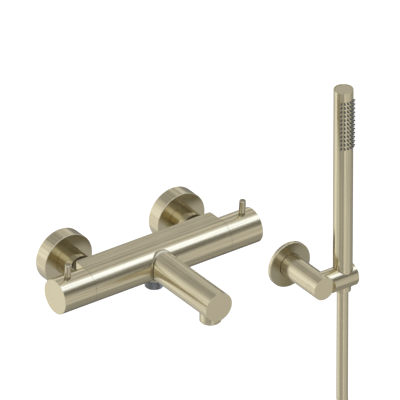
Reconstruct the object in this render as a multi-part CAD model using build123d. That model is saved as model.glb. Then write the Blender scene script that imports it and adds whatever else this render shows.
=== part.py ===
from build123d import *
import math
import os

# Wall-mounted thermostatic bath shower mixer with its handset, bracket and hose.
# The wall is the plane Y = 0 and the room lies towards -Y. X runs to the right along the wall, Z is up.
# The origin is on the wall, midway between the two water inlets. Lengths are in millimetres.

# Driving sizes of the mixer
inlet_spacing = 150.0
bar_offset = 71.5
bar_diameter = 40.0
body_past_inlet = 15.0
handle_length = 41.0
shelf_depth = 21.3
shelf_height = 26.0
shelf_corner = 3.0
spout_reach = 121.0
spout_diameter = 34.0

# Clearances and allowances
seam_gap = 0.4
loose_gap = 0.35
running_gap = 0.08
seat_gap = 0.05
cut_over = 1.0

# Thread sizes, modelled as plain cylinders at their outer diameter
half_inch_thread_d = 20.96
half_inch_minor_d = 18.64
three_quarter_thread_d = 26.44
slim_thread_d = 15.0

# Wall connectors, union nuts and rosettes
wall_thread_length = 13.0
connector_hex_start = 2.0
connector_hex_length = 10.0
connector_hex_flats = 26.0
connector_front_length = 18.0
connector_bore_d = 13.0
union_washer_thickness = 2.0
tail_diameter = 22.0
tail_flange_diameter = 25.6
tail_flange_thickness = 2.5
nut_diameter = 32.0
nut_wall_gap = 1.0
nut_hex_flats = 27.0
nut_hex_length = 9.0
rosette_diameter = 62.5
rosette_depth = 17.5
rosette_wall = 1.5
check_valve_length = 14.0
check_valve_bore_d = 7.0
check_valve_inset = 1.0

# Cartridge bores and waterways in the body
cartridge_bore_d = 31.0
cartridge_bore_depth = 62.0
bypass_bore_d = 8.0
bypass_back = 15.5
bypass_rise = 14.5
spout_port_d = 16.0
spout_port_floor = 6.0
spout_port_inner_d = 11.0
outlet_port_d = 15.0
outlet_port_roof = 9.5
spout_channel_d = 6.0
outlet_channel_d = 5.0
outlet_channel_drop = 12.5

# Spout, its collar and its connector
collar_diameter = 36.4
collar_rise = 1.8
collar_gap_width = 0.9
spout_neck_d = 32.2
spout_root = 23.4
spout_wall = 3.0
spout_end_wall = 4.0
spout_root_wall = 10.0
connector_tube_bore_d = 10.0
spout_seal_thickness = 2.0

# Aerator
aerator_back_from_end = 16.2
aerator_diameter = 24.0
aerator_drop = 7.3
aerator_thread_d = 19.8
aerator_thread_rise = 6.0
aerator_wall = 1.8
aerator_lip = 1.2
aerator_recess = 0.8
aerator_insert_height = 7.0
aerator_washer_thickness = 1.5
aerator_hole_d = 1.5
aerator_hole_pitch = 2.4
aerator_rings = 3
aerator_sieve_thickness = 2.0

# Shower outlet under the body
outlet_drop = 11.5
outlet_seat_depth = 9.0
outlet_shank_d = 17.6
outlet_bore_d = 11.0
outlet_boss_d = 22.6
outlet_boss_drop = 0.6
outlet_valve_length = 12.0
outlet_valve_bore_d = 5.0

# Handles and their levers
handle_cavity_d = 31.2
handle_cavity_depth = 17.6
lever_diameter = 7.4
lever_height = 17.5
lever_lean = 5.0
lever_root_depth = 8.0
lever_from_end = 15.5
lever_edge = 0.6
grub_diameter = 4.0
grub_from_lever = 7.0
grub_length = 12.0
grub_recess = 1.2
grub_socket_flats = 2.0
grub_socket_depth = 2.2
spindle_diameter = 8.0
spindle_into_handle = 12.0
spindle_flange_d = 18.0
spindle_flange_thickness = 3.0

# Thermostatic cartridge, right-hand end
cartridge_wall = 2.1
cartridge_end_wall = 3.0
cartridge_port_d = 6.0
cartridge_port_count = 6
retaining_nut_d = 29.6
retaining_nut_length = 12.0
retaining_nut_in_body = 6.0
regulator_length = 13.0
regulator_wall = 2.2
regulator_web = 3.0
regulator_holes = 6
wax_bulb_d = 11.0
wax_bulb_length = 18.0
wax_stem_d = 5.0
regulator_play = 2.2
regulator_travel = 1.3
spring_wire_d = 1.6
spring_radius = 9.0
spring_turns = 5

# Flow and diverter cartridge, left-hand end
ceramic_disc_thickness = 4.0
ceramic_disc_d = 25.0
ceramic_port_d = 7.0
ceramic_port_offset = 7.0
fixed_port_angles = (0, 90, 180, 270)
moving_port_angles = (45, 225)
carrier_length = 6.0

# Handset bracket
bracket_x = 231.0
bracket_z = -119.0
bracket_rosette_d = 54.0
bracket_rosette_depth = 4.5
bracket_rosette_wall = 1.2
arm_diameter = 27.0
arm_reach = 68.0
arm_gap = 0.6
wall_plate_d = 46.0
wall_plate_thickness = 2.8
plate_boss_d = 16.0
plate_boss_length = 18.0
plate_screw_spacing = 32.0
screw_hole_d = 4.7
screw_recess_d = 7.5
screw_recess_depth = 1.4
arm_grub_from_wall = 12.0
holder_diameter = 27.0
holder_end_from_arm = 45.0
holder_back_from_end = 10.5
holder_bolt_d = 6.0
holder_bolt_head_d = 10.0
holder_bolt_head_length = 5.0
holder_bolt_into_arm = 9.0
holder_bolt_into_holder = 6.0
holder_seat_drop = 4.0
seat_ring_thickness = 1.5

# Handset
handset_from_arm = 32.3
handset_diameter = 22.0
handset_wall = 1.6
handset_top = 119.0
handset_cap_thickness = 3.0
handset_cap_sink = 0.3
handset_plug_length = 15.0
handset_stub_length = 5.0
handset_waterway_d = 9.0
nozzle_rows = 12
nozzle_columns = 6
nozzle_pitch = 5.16
nozzle_first_drop = 13.0
nozzle_angle = 19.0
nozzle_diameter = 1.8
nozzle_length = 2.0
nozzle_bore_d = 0.8
nozzle_strip_thickness = 1.1
nozzle_strip_margin = 3.0
core_wall = 1.6
core_tube_d = 12.0

# Hose: its route is chosen by hand, in real sizes
hose_diameter = 13.0
hose_bore_d = 8.0
hose_nut_d = 18.8
hose_nut_drop = 3.0
ferrule_flange_d = 14.3
ferrule_flange_thickness = 1.5
hose_washer_thickness = 1.5
hose_start_depth = 1.5
hose_straight_drop = 166.0
hose_bend_run = 60.0
hose_bend_turn = 45.0
hose_bend_share = 0.45
coil_radius = 67.0
coil_pitch = 13.8
coil_turn_total = 1125.0
coil_tail_length = 44.0
tie_angle = 20.0
tie_width = 9.0
tie_thickness = 1.6
tie_slack = 0.9
end_nut_d = 24.0
end_nut_length = 15.0
end_nut_floor = 4.0
end_nut_thread_length = 7.0
end_nut_relief = 0.25
end_ferrule_length = 6.0
end_ferrule_flange_d = 17.6
end_ferrule_flange_thickness = 2.0
end_nut_flute_count = 24
end_nut_flute_d = 1.2

# Places and radii worked out from those sizes
bar_r = bar_diameter / 2
bar_y = -bar_offset
inlet_half = inlet_spacing / 2
body_half = inlet_half + body_past_inlet
shelf_back_y = bar_y + shelf_depth
spout_r = spout_diameter / 2
spout_end_y = bar_y - spout_reach
handle_start = body_half + seam_gap
handle_end = handle_start + handle_length
lever_x = handle_end - lever_from_end
grub_x = lever_x - grub_from_lever
cartridge_inner_x = body_half - cartridge_bore_depth
cartridge_r = cartridge_bore_d / 2 - seat_gap
cartridge_inside_r = cartridge_r - cartridge_wall
nut_start_x = body_half - retaining_nut_in_body
nut_end_x = nut_start_x + retaining_nut_length
spindle_r = spindle_diameter / 2
spindle_tip_x = handle_start + handle_cavity_depth + spindle_into_handle

connector_hex_end = connector_hex_start + connector_hex_length
connector_front_end = connector_hex_end + connector_front_length
tail_end = connector_front_end + union_washer_thickness
nut_wall_end = connector_hex_end + nut_wall_gap
nut_body_end = -shelf_back_y - loose_gap

arm_r = arm_diameter / 2
arm_start = wall_plate_thickness + seat_gap
holder_r = holder_diameter / 2
holder_y = holder_back_from_end - arm_reach
holder_end_x = bracket_x + holder_end_from_arm
handset_x = bracket_x + handset_from_arm
handset_r = handset_diameter / 2
handset_bore_r = handset_r - handset_wall
holder_hole_r = handset_r + loose_gap
seat_z = bracket_z - holder_seat_drop
handset_bottom = seat_z + seat_ring_thickness
hose_nut_r = hose_nut_d / 2
holder_lower_r = hose_nut_r + loose_gap
hose_nut_bottom = bracket_z - holder_r - hose_nut_drop
hose_r = hose_diameter / 2
hose_start_z = hose_nut_bottom + hose_start_depth

parts = {}


# Cylinders and rings along the three axes, each given by its two end positions
def rod_x(radius, start, end, y=bar_y, z=0.0):
    return Pos((start + end) / 2, y, z) * Rot(0, 90, 0) * Cylinder(radius, abs(end - start))


def rod_y(radius, start, end, x=0.0, z=0.0):
    return Pos(x, (start + end) / 2, z) * Rot(90, 0, 0) * Cylinder(radius, abs(end - start))


def rod_z(radius, start, end, x=0.0, y=bar_y):
    return Pos(x, y, (start + end) / 2) * Cylinder(radius, abs(end - start))


def ring_x(outer, inner, start, end, y=bar_y, z=0.0):
    low, high = min(start, end), max(start, end)
    return rod_x(outer, low, high, y, z) - rod_x(inner, low - cut_over, high + cut_over, y, z)


def ring_y(outer, inner, start, end, x=0.0, z=0.0):
    low, high = min(start, end), max(start, end)
    return rod_y(outer, low, high, x, z) - rod_y(inner, low - cut_over, high + cut_over, x, z)


def ring_z(outer, inner, start, end, x=0.0, y=bar_y):
    low, high = min(start, end), max(start, end)
    return rod_z(outer, low, high, x, y) - rod_z(inner, low - cut_over, high + cut_over, x, y)


def hex_y(flats, start, end, x):
    profile = RegularPolygon(flats / 2, 6, major_radius=False)
    profile = Pos(x, max(start, end), 0) * Rot(90, 0, 0) * profile
    return extrude(profile, amount=abs(end - start))


# Mixer body: the bar, the flat-topped shelf behind it and the two inlet tails, bored for its waterways
def make_mixer_body():
    bar = rod_x(bar_r, -body_half, body_half)
    shelf = Box(2 * body_half, shelf_depth, shelf_height)
    shelf = Pos(0, bar_y + shelf_depth / 2, bar_r - shelf_height / 2) * shelf
    back_corners = shelf.edges().filter_by(Axis.Z).group_by(Axis.Y)[-1]
    shelf = fillet(back_corners, min(shelf_corner, shelf_depth / 3))
    body = bar + shelf
    for side in (-1, 1):
        x = side * inlet_half
        body += rod_y(tail_diameter / 2, bar_y, -tail_end, x)
        body += rod_y(tail_flange_diameter / 2, -tail_end - tail_flange_thickness, -tail_end, x)
    body += rod_z(outlet_boss_d / 2, -bar_r - outlet_boss_drop, -bar_r / 2)
    for side in (-1, 1):
        body -= rod_x(cartridge_bore_d / 2, side * cartridge_inner_x, side * (body_half + cut_over))
        body -= rod_y(connector_bore_d / 2, bar_y, -tail_end + cut_over, side * inlet_half)
    bypass_end = inlet_half
    body -= rod_x(bypass_bore_d / 2, -bypass_end, bypass_end, bar_y + bypass_back, bypass_rise)
    spout_port_end = bar_y - bar_r - cut_over
    body -= rod_y(spout_port_d / 2, bar_y - spout_port_floor, spout_port_end)
    body -= rod_y(spout_port_inner_d / 2, bar_y + spout_port_inner_d / 2, spout_port_end)
    body -= rod_x(spout_channel_d / 2, -cartridge_inner_x - cut_over, 0)
    outlet_seat_z = -bar_r - outlet_boss_drop + outlet_seat_depth
    outlet_low = -bar_r - outlet_boss_drop - cut_over
    body -= rod_z(outlet_shank_d / 2 + seat_gap, outlet_low, outlet_seat_z)
    body -= rod_z(outlet_port_d / 2, outlet_low, -outlet_port_roof)
    body -= rod_x(outlet_channel_d / 2, -cartridge_inner_x - cut_over, 0, bar_y, -outlet_channel_drop)
    return body


# Wall connectors with their wall threads, union nuts, washers and rosettes, one of each per inlet
def make_wall_connector(x):
    connector = rod_y(half_inch_thread_d / 2, -connector_hex_start, wall_thread_length, x)
    connector += hex_y(connector_hex_flats, -connector_hex_end, -connector_hex_start, x)
    connector += rod_y(three_quarter_thread_d / 2, -connector_front_end, -connector_hex_end, x)
    bore = rod_y(connector_bore_d / 2, -connector_front_end - cut_over, wall_thread_length + cut_over, x)
    return connector - bore


def make_union_nut(x):
    sleeve_end = nut_body_end - nut_hex_length
    nut = rod_y(nut_diameter / 2, -sleeve_end, -nut_wall_end, x)
    nut += hex_y(nut_hex_flats, -nut_body_end, -sleeve_end, x)
    shoulder = tail_end + tail_flange_thickness + seat_gap
    nut -= rod_y(three_quarter_thread_d / 2 + seat_gap, -shoulder, -nut_wall_end + cut_over, x)
    nut -= rod_y(tail_diameter / 2 + loose_gap, -nut_body_end - cut_over, -shoulder, x)
    return nut


def make_rosette(x):
    shell = rod_y(rosette_diameter / 2, -rosette_depth, 0, x)
    shell -= rod_y(rosette_diameter / 2 - rosette_wall, -rosette_depth + rosette_wall, cut_over, x)
    shell -= rod_y(nut_diameter / 2 + loose_gap, -rosette_depth - cut_over, cut_over, x)
    return shell


def make_union_washers():
    outer = three_quarter_thread_d / 2 - seat_gap
    washers = [
        ring_y(outer, connector_bore_d / 2, -tail_end, -connector_front_end, side * inlet_half)
        for side in (-1, 1)
    ]
    return Compound(children=washers)


def make_check_valves():
    valves = []
    for side in (-1, 1):
        outer = connector_bore_d / 2 - seat_gap
        start = check_valve_inset - connector_front_end
        end = start + check_valve_length
        valves.append(ring_y(outer, check_valve_bore_d / 2, start, end, side * inlet_half))
    return Compound(children=valves)


# A rod that points at the bar and ends in a saddle off it, clear of the outlet's boss
def saddle_on_bar(radius, front_y, off_bar):
    rod = rod_y(radius, front_y, bar_y - bar_r / 2)
    rod -= rod_x(bar_r + off_bar, -2 * radius, 2 * radius)
    return rod - rod_z(outlet_boss_d / 2 + seat_gap, -bar_r - outlet_boss_drop - cut_over, 0)


# Spout: a closed tube whose neck stands on the bar, with a thin saddle-shaped collar round the neck
aerator_y = spout_end_y + aerator_back_from_end


def make_spout_tube():
    root_y = bar_y - spout_root
    tube = saddle_on_bar(spout_r, spout_end_y, collar_rise + collar_gap_width)
    tube += saddle_on_bar(spout_neck_d / 2, root_y, seat_gap)
    tube -= rod_y(spout_r - spout_wall, spout_end_y + spout_end_wall, root_y - spout_root_wall)
    tube -= rod_y(spout_port_d / 2 + seat_gap, root_y - spout_root_wall - cut_over, bar_y)
    return tube - rod_z(aerator_thread_d / 2 + seat_gap, -spout_diameter, 0, 0, aerator_y)


def make_spout_collar():
    front_y = bar_y - bar_r - collar_rise
    collar = saddle_on_bar(collar_diameter / 2, front_y, seat_gap)
    collar &= rod_x(bar_r + collar_rise, -collar_diameter, collar_diameter)
    return collar - rod_y(spout_neck_d / 2 + seat_gap, front_y - cut_over, bar_y)


def make_spout_connector():
    outer = spout_port_d / 2 - seat_gap
    start = bar_y - spout_port_floor - spout_seal_thickness
    return ring_y(outer, connector_tube_bore_d / 2, bar_y - spout_root - spout_root_wall, start)


def make_spout_seal():
    start = bar_y - spout_port_floor - spout_seal_thickness
    return ring_y(spout_port_d / 2 - seat_gap, spout_port_inner_d / 2, start, bar_y - spout_port_floor)


# Aerator: a housing saddled to the spout's underside, a sieve insert and a washer
aerator_bottom = -spout_r - aerator_drop
aerator_top = aerator_bottom + aerator_drop + aerator_thread_rise
aerator_inside_r = aerator_thread_d / 2 - aerator_wall


def make_aerator_housing():
    housing = rod_z(aerator_diameter / 2, aerator_bottom, -spout_r / 2, 0, aerator_y)
    housing -= rod_y(spout_r + seat_gap, aerator_y - aerator_diameter, aerator_y + aerator_diameter)
    housing += rod_z(aerator_thread_d / 2, aerator_bottom + aerator_recess, aerator_top, 0, aerator_y)
    housing -= rod_z(aerator_inside_r, aerator_bottom + aerator_lip, aerator_top + cut_over, 0, aerator_y)
    housing -= rod_z(aerator_inside_r - aerator_lip, aerator_bottom - cut_over, aerator_top, 0, aerator_y)
    return housing


def make_aerator_insert():
    low = aerator_bottom + aerator_lip
    high = low + aerator_insert_height
    sieve_high = low + aerator_sieve_thickness
    insert = rod_z(aerator_inside_r - seat_gap, low, high, 0, aerator_y)
    insert -= rod_z(aerator_inside_r - aerator_wall, sieve_high, high + cut_over, 0, aerator_y)
    centres = [(0.0, 0.0)]
    for ring in range(1, aerator_rings):
        out = ring * aerator_hole_pitch
        for step in range(6 * ring):
            angle = math.tau * step / (6 * ring)
            centres.append((out * math.cos(angle), out * math.sin(angle)))
    holes = [
        rod_z(aerator_hole_d / 2, low - cut_over, sieve_high + cut_over, x, aerator_y + y)
        for x, y in centres
    ]
    return insert - holes


def make_aerator_washer():
    low = aerator_bottom + aerator_lip + aerator_insert_height
    high = low + aerator_washer_thickness
    return ring_z(aerator_inside_r - seat_gap, aerator_inside_r - aerator_wall, low, high, 0, aerator_y)


# Shower outlet: a threaded nipple under the body with a non-return valve inside
outlet_face_z = -bar_r - outlet_boss_drop
outlet_bottom = -bar_r - outlet_drop


def make_shower_outlet():
    nipple = rod_z(half_inch_thread_d / 2, outlet_bottom, outlet_face_z)
    shank_high = outlet_face_z + outlet_seat_depth
    nipple += rod_z(outlet_shank_d / 2, outlet_face_z, shank_high)
    return nipple - rod_z(outlet_bore_d / 2, outlet_bottom - cut_over, shank_high + cut_over)


def make_outlet_valve():
    high = outlet_face_z + outlet_seat_depth
    outer = outlet_bore_d / 2 - seat_gap
    return ring_z(outer, outlet_valve_bore_d / 2, high - outlet_valve_length, high)


# Handles, alike but mirrored: side -1 is the flow handle on the left, side 1 the temperature handle
def leaned(shape):
    return Pos(0, bar_y, 0) * Rot(lever_lean, 0, 0) * Pos(0, -bar_y, 0) * shape


def make_handle(side):
    handle = rod_x(bar_r, side * handle_start, side * handle_end)
    cavity_end = handle_start + handle_cavity_depth
    handle -= rod_x(handle_cavity_d / 2, side * (handle_start - cut_over), side * cavity_end)
    handle -= rod_x(spindle_r + seat_gap, side * cavity_end, side * (spindle_tip_x + seat_gap))
    lever_low = bar_r - lever_root_depth
    handle -= leaned(rod_z(lever_diameter / 2 + seat_gap, lever_low, bar_r + cut_over, side * lever_x))
    handle -= rod_z(grub_diameter / 2 + seat_gap, -bar_r - cut_over, 0, side * grub_x)
    return handle


def make_lever(side):
    lever = rod_z(lever_diameter / 2, bar_r - lever_root_depth, bar_r + lever_height, side * lever_x)
    return leaned(chamfer(lever.edges().group_by(Axis.Z)[-1], lever_edge))


def make_grub_screw(side):
    low = -bar_r + grub_recess
    high = min(low + grub_length, -spindle_r - seat_gap)
    screw = rod_z(grub_diameter / 2, low, high, side * grub_x)
    socket = RegularPolygon(grub_socket_flats / 2, 6, major_radius=False)
    socket = Pos(side * grub_x, bar_y, low - cut_over) * socket
    return screw - extrude(socket, amount=grub_socket_depth + cut_over)


def make_spindle(side, inner_x, flange_x):
    spindle = rod_x(spindle_r, side * inner_x, side * spindle_tip_x)
    flange = rod_x(spindle_flange_d / 2, side * flange_x, side * (flange_x + spindle_flange_thickness))
    return spindle + flange


def make_retaining_nut(side):
    nut = rod_x(retaining_nut_d / 2, side * nut_start_x, side * nut_end_x)
    bore_start = nut_start_x - cut_over
    return nut - rod_x(spindle_r + running_gap, side * bore_start, side * (nut_end_x + cut_over))


# Thermostatic cartridge: a ported housing, with a regulating sleeve and wax element that slide in it
housing_inner_x = cartridge_inner_x + seat_gap
housing_outer_x = nut_start_x
flange_x = housing_outer_x - spindle_flange_thickness - loose_gap
regulator_end_x = flange_x - regulator_play
regulator_start_x = regulator_end_x - regulator_length
element_start_x = housing_inner_x + cartridge_end_wall + regulator_play
regulator_outer_r = cartridge_inside_r - running_gap


def make_cartridge_housing(side):
    housing = rod_x(cartridge_r, side * housing_inner_x, side * housing_outer_x)
    inside_start = housing_inner_x + cartridge_end_wall
    housing -= rod_x(cartridge_inside_r, side * inside_start, side * (housing_outer_x + cut_over))
    hole_start = housing_inner_x - cut_over
    housing -= rod_x(cartridge_port_d / 2, side * hole_start, side * (inside_start + cut_over))
    for step in range(cartridge_port_count):
        port = Cylinder(cartridge_port_d / 2, cartridge_r, align=(Align.CENTER, Align.CENTER, Align.MIN))
        turn = Rot(360 * step / cartridge_port_count, 0, 0)
        housing -= Pos(side * inlet_half, bar_y, 0) * turn * Pos(0, 0, cartridge_inside_r / 2) * port
    return housing


def make_regulating_sleeve():
    outer = regulator_outer_r
    sleeve = ring_x(outer, outer - regulator_wall, regulator_start_x, regulator_end_x)
    web_start = regulator_start_x + (regulator_length - regulator_web) / 2
    web_r = outer - regulator_wall / 2
    web = ring_x(web_r, wax_stem_d / 2 + seat_gap, web_start, web_start + regulator_web)
    hole_ring_r = (outer - regulator_wall + wax_stem_d / 2) / 2
    hole = Rot(0, 90, 0) * Cylinder(regulator_wall, regulator_length)
    holes = [
        Pos(web_start, bar_y, 0) * Rot(360 * step / regulator_holes, 0, 0) * Pos(0, 0, hole_ring_r) * hole
        for step in range(regulator_holes)
    ]
    return sleeve + (web - holes)


def make_wax_element():
    bulb = rod_x(wax_bulb_d / 2, element_start_x, element_start_x + wax_bulb_length)
    return bulb + rod_x(wax_stem_d / 2, element_start_x, regulator_end_x)


# Two arcs that leave one point and reach the next in the given ways
def biarc(start, start_way, end, end_way):
    chord = end - start
    ways = start_way + end_way
    a = 2 * (1 - start_way.dot(end_way))
    b = 2 * chord.dot(ways)
    c = -chord.dot(chord)
    reach = (-b + math.sqrt(b * b - 4 * a * c)) / (2 * a)
    middle = (start + end + (start_way - end_way) * reach) / 2
    first = TangentArc(start, middle, tangent=start_way)
    middle_way = (end - end_way * reach) - (start + start_way * reach)
    return [first, TangentArc(middle, end, tangent=middle_way)]


# Return spring: between the housing's end wall and the sleeve, which it meets at the end of the travel
spring_start_x = housing_inner_x + cartridge_end_wall + spring_wire_d / 2 + seat_gap
spring_end_x = regulator_start_x - regulator_travel - spring_wire_d / 2 - seat_gap
spring_pitch = (spring_end_x - spring_start_x) / spring_turns


def spring_point(turned):
    x = spring_start_x + spring_pitch * turned / math.tau
    return Vector(x, bar_y + spring_radius * math.cos(turned), spring_radius * math.sin(turned))


def spring_way(turned):
    way_y = -spring_radius * math.sin(turned)
    way_z = spring_radius * math.cos(turned)
    return Vector(spring_pitch / math.tau, way_y, way_z).normalized()


def make_return_spring():
    turns = [math.pi / 2 * step for step in range(4 * spring_turns + 1)]
    edges = []
    for low, high in zip(turns, turns[1:]):
        edges += biarc(spring_point(low), spring_way(low), spring_point(high), spring_way(high))
    plane = Plane(origin=spring_point(0), z_dir=spring_way(0))
    return sweep(plane * Circle(spring_wire_d / 2), path=Wire(edges))


# Flow cartridge: two ceramic discs, the outer one carried round by the spindle
fixed_disc_end_x = housing_inner_x + cartridge_end_wall + ceramic_disc_thickness
moving_disc_end_x = fixed_disc_end_x + seat_gap + ceramic_disc_thickness
carrier_end_x = moving_disc_end_x + carrier_length


def make_ceramic_disc(start, end, port_angles):
    disc = rod_x(ceramic_disc_d / 2, start, end)
    for angle in port_angles:
        port = Rot(angle, 0, 0) * Pos(0, 0, ceramic_port_offset) * Rot(0, 90, 0)
        port = port * Cylinder(ceramic_port_d / 2, 4 * ceramic_disc_thickness)
        disc -= Pos((start + end) / 2, bar_y, 0) * port
    return disc


def make_disc_carrier():
    outer = ceramic_disc_d / 2
    return ring_x(outer, spindle_r + seat_gap, -carrier_end_x, -moving_disc_end_x)


# Handset bracket: wall plate with its screw holes, rosette, arm and the holder across it
def make_wall_plate():
    plate = rod_y(wall_plate_d / 2, -wall_plate_thickness, 0, bracket_x, bracket_z)
    plate += rod_y(plate_boss_d / 2, -plate_boss_length, 0, bracket_x, bracket_z)
    front = -wall_plate_thickness - cut_over
    recess_floor = screw_recess_depth - wall_plate_thickness
    for side in (-1, 1):
        z = bracket_z + side * plate_screw_spacing / 2
        plate -= rod_y(screw_hole_d / 2, front, cut_over, bracket_x, z)
        plate -= rod_y(screw_recess_d / 2, front, recess_floor, bracket_x, z)
    return plate


def make_bracket_rosette():
    rosette = rod_y(bracket_rosette_d / 2, -bracket_rosette_depth, 0, bracket_x, bracket_z)
    inside_r = bracket_rosette_d / 2 - bracket_rosette_wall
    inside_y = -bracket_rosette_depth + bracket_rosette_wall
    rosette -= rod_y(inside_r, inside_y, cut_over, bracket_x, bracket_z)
    front = -bracket_rosette_depth - cut_over
    return rosette - rod_y(arm_r + arm_gap, front, cut_over, bracket_x, bracket_z)


def make_bracket_arm():
    arm = rod_y(arm_r, -arm_reach, -arm_start, bracket_x, bracket_z)
    socket_end = plate_boss_length + seat_gap
    arm -= rod_y(plate_boss_d / 2 + seat_gap, -socket_end, cut_over, bracket_x, bracket_z)
    low = bracket_z - arm_r - cut_over
    arm -= rod_z(grub_diameter / 2 + seat_gap, low, bracket_z, bracket_x, -arm_grub_from_wall)
    bolt_start = bracket_x + arm_r - holder_bolt_into_arm
    head_start = bolt_start - holder_bolt_head_length
    left = bracket_x - arm_r - cut_over
    right = bracket_x + arm_r + cut_over
    arm -= rod_x(holder_bolt_head_d / 2 + seat_gap, left, bolt_start, holder_y, bracket_z)
    arm -= rod_x(holder_bolt_d / 2 + seat_gap, head_start, right, holder_y, bracket_z)
    return arm


def make_arm_plug():
    bolt_start = bracket_x + arm_r - holder_bolt_into_arm
    plug_end = bolt_start - holder_bolt_head_length - seat_gap
    plug = rod_x(holder_bolt_head_d / 2, bracket_x - arm_r, plug_end, holder_y, bracket_z)
    return plug & rod_y(arm_r - seat_gap, -arm_reach, -arm_start, bracket_x, bracket_z)


def make_arm_grub_screw():
    low = bracket_z - arm_r + grub_recess
    high = bracket_z - plate_boss_d / 2 - seat_gap
    screw = rod_z(grub_diameter / 2, low, high, bracket_x, -arm_grub_from_wall)
    socket = RegularPolygon(grub_socket_flats / 2, 6, major_radius=False)
    socket = Pos(bracket_x, -arm_grub_from_wall, low) * socket
    return screw - extrude(socket, amount=(high - low) / 2, both=True)


def make_holder():
    holder = rod_x(holder_r, bracket_x, holder_end_x, holder_y, bracket_z)
    holder -= rod_y(arm_r + seat_gap, -arm_reach - arm_r, 0, bracket_x, bracket_z)
    holder -= rod_z(holder_hole_r, seat_z, bracket_z + holder_r + cut_over, handset_x, holder_y)
    holder -= rod_z(holder_lower_r, bracket_z - holder_r - cut_over, seat_z + cut_over, handset_x, holder_y)
    bolt_end = bracket_x + arm_r + holder_bolt_into_holder + seat_gap
    holder -= rod_x(holder_bolt_d / 2 + seat_gap, bracket_x, bolt_end, holder_y, bracket_z)
    return holder


def make_holder_bolt():
    bolt_start = bracket_x + arm_r - holder_bolt_into_arm
    bolt_end = bracket_x + arm_r + holder_bolt_into_holder
    head_start = bolt_start - holder_bolt_head_length
    bolt = rod_x(holder_bolt_d / 2, head_start, bolt_end, holder_y, bracket_z)
    return bolt + rod_x(holder_bolt_head_d / 2, head_start, bolt_start, holder_y, bracket_z)


def make_seat_ring():
    outer = holder_hole_r - seat_gap
    return ring_z(outer, holder_lower_r, seat_z, handset_bottom, handset_x, holder_y)


# Handset: a drilled tube, its cap, the nozzle strip, the inner waterway and the threaded inlet
nozzle_top_z = handset_top - nozzle_first_drop
nozzle_bottom_z = nozzle_top_z - (nozzle_rows - 1) * nozzle_pitch
nozzle_places = [
    (nozzle_top_z - row * nozzle_pitch, (column - (nozzle_columns - 1) / 2) * nozzle_angle)
    for row in range(nozzle_rows)
    for column in range(nozzle_columns)
]
strip_outer_r = handset_bore_r - seat_gap
strip_inner_r = strip_outer_r - nozzle_strip_thickness
core_r = strip_inner_r - seat_gap
strip_low = nozzle_bottom_z - nozzle_strip_margin
strip_high = nozzle_top_z + nozzle_strip_margin
cap_plug_z = handset_top - handset_cap_thickness


def radial_rods(radius, start, end):
    rod = Cylinder(radius, end - start, align=(Align.CENTER, Align.CENTER, Align.MIN))
    return [
        Pos(handset_x, holder_y, z) * Rot(0, 0, angle) * Rot(90, 0, 0) * Pos(0, 0, start) * rod
        for z, angle in nozzle_places
    ]


def make_handset_tube():
    tube = ring_z(handset_r, handset_bore_r, handset_bottom, handset_top, handset_x, holder_y)
    hole_r = nozzle_diameter / 2 + seat_gap
    return tube - radial_rods(hole_r, handset_bore_r - cut_over, handset_r + cut_over)


def make_handset_cap():
    high = handset_top - handset_cap_sink
    return rod_z(handset_bore_r - seat_gap, cap_plug_z, high, handset_x, holder_y)


def make_nozzle_strip():
    strip = ring_z(strip_outer_r, strip_inner_r, strip_low, strip_high, handset_x, holder_y)
    spread = math.radians(nozzle_columns * nozzle_angle / 2)
    reach = handset_diameter
    side_x = reach * math.tan(spread) if spread < math.pi / 2 else reach
    wedge = Polyline((0, 0), (-side_x, -reach), (side_x, -reach), (0, 0))
    wedge = Pos(handset_x, holder_y, strip_low) * extrude(make_face(wedge), amount=strip_high - strip_low)
    strip = strip & wedge
    tip_r = handset_r + nozzle_length
    strip = strip + radial_rods(nozzle_diameter / 2, strip_inner_r + seat_gap, tip_r)
    return strip - radial_rods(nozzle_bore_d / 2, strip_inner_r - cut_over, tip_r + cut_over)


def make_handset_core():
    plug_top = handset_bottom + handset_plug_length
    core = rod_z(core_r, strip_low, cap_plug_z, handset_x, holder_y)
    core += rod_z(core_tube_d / 2, plug_top, strip_low, handset_x, holder_y)
    chamber_low = strip_low + core_wall
    core -= rod_z(core_r - core_wall, chamber_low, cap_plug_z - core_wall, handset_x, holder_y)
    waterway_r = core_tube_d / 2 - core_wall
    core -= rod_z(waterway_r, plug_top - cut_over, chamber_low + core_wall, handset_x, holder_y)
    holes = radial_rods(nozzle_bore_d / 2 + seat_gap, core_r - core_wall - cut_over, core_r + cut_over)
    return core - holes


def make_handset_inlet():
    plug_top = handset_bottom + handset_plug_length
    stub_low = handset_bottom - handset_stub_length
    inlet = rod_z(handset_bore_r - seat_gap, handset_bottom, plug_top, handset_x, holder_y)
    inlet += rod_z(slim_thread_d / 2, stub_low, handset_bottom, handset_x, holder_y)
    waterway_r = handset_waterway_d / 2
    return inlet - rod_z(waterway_r, stub_low - cut_over, plug_top + cut_over, handset_x, holder_y)


# Hose fittings at the handset: a slim nut that the ferrule hangs in and turns in
stub_low_z = handset_bottom - handset_stub_length
washer_low_z = stub_low_z - hose_washer_thickness
flange_low_z = washer_low_z - ferrule_flange_thickness
nut_top_z = handset_bottom - loose_gap


def make_hose_slim_nut():
    nut = rod_z(hose_nut_r, hose_nut_bottom, nut_top_z, handset_x, holder_y)
    thread_r = slim_thread_d / 2 + seat_gap
    nut -= rod_z(thread_r, flange_low_z - loose_gap, nut_top_z + cut_over, handset_x, holder_y)
    return nut - rod_z(hose_r + loose_gap, hose_nut_bottom - cut_over, nut_top_z, handset_x, holder_y)


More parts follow.
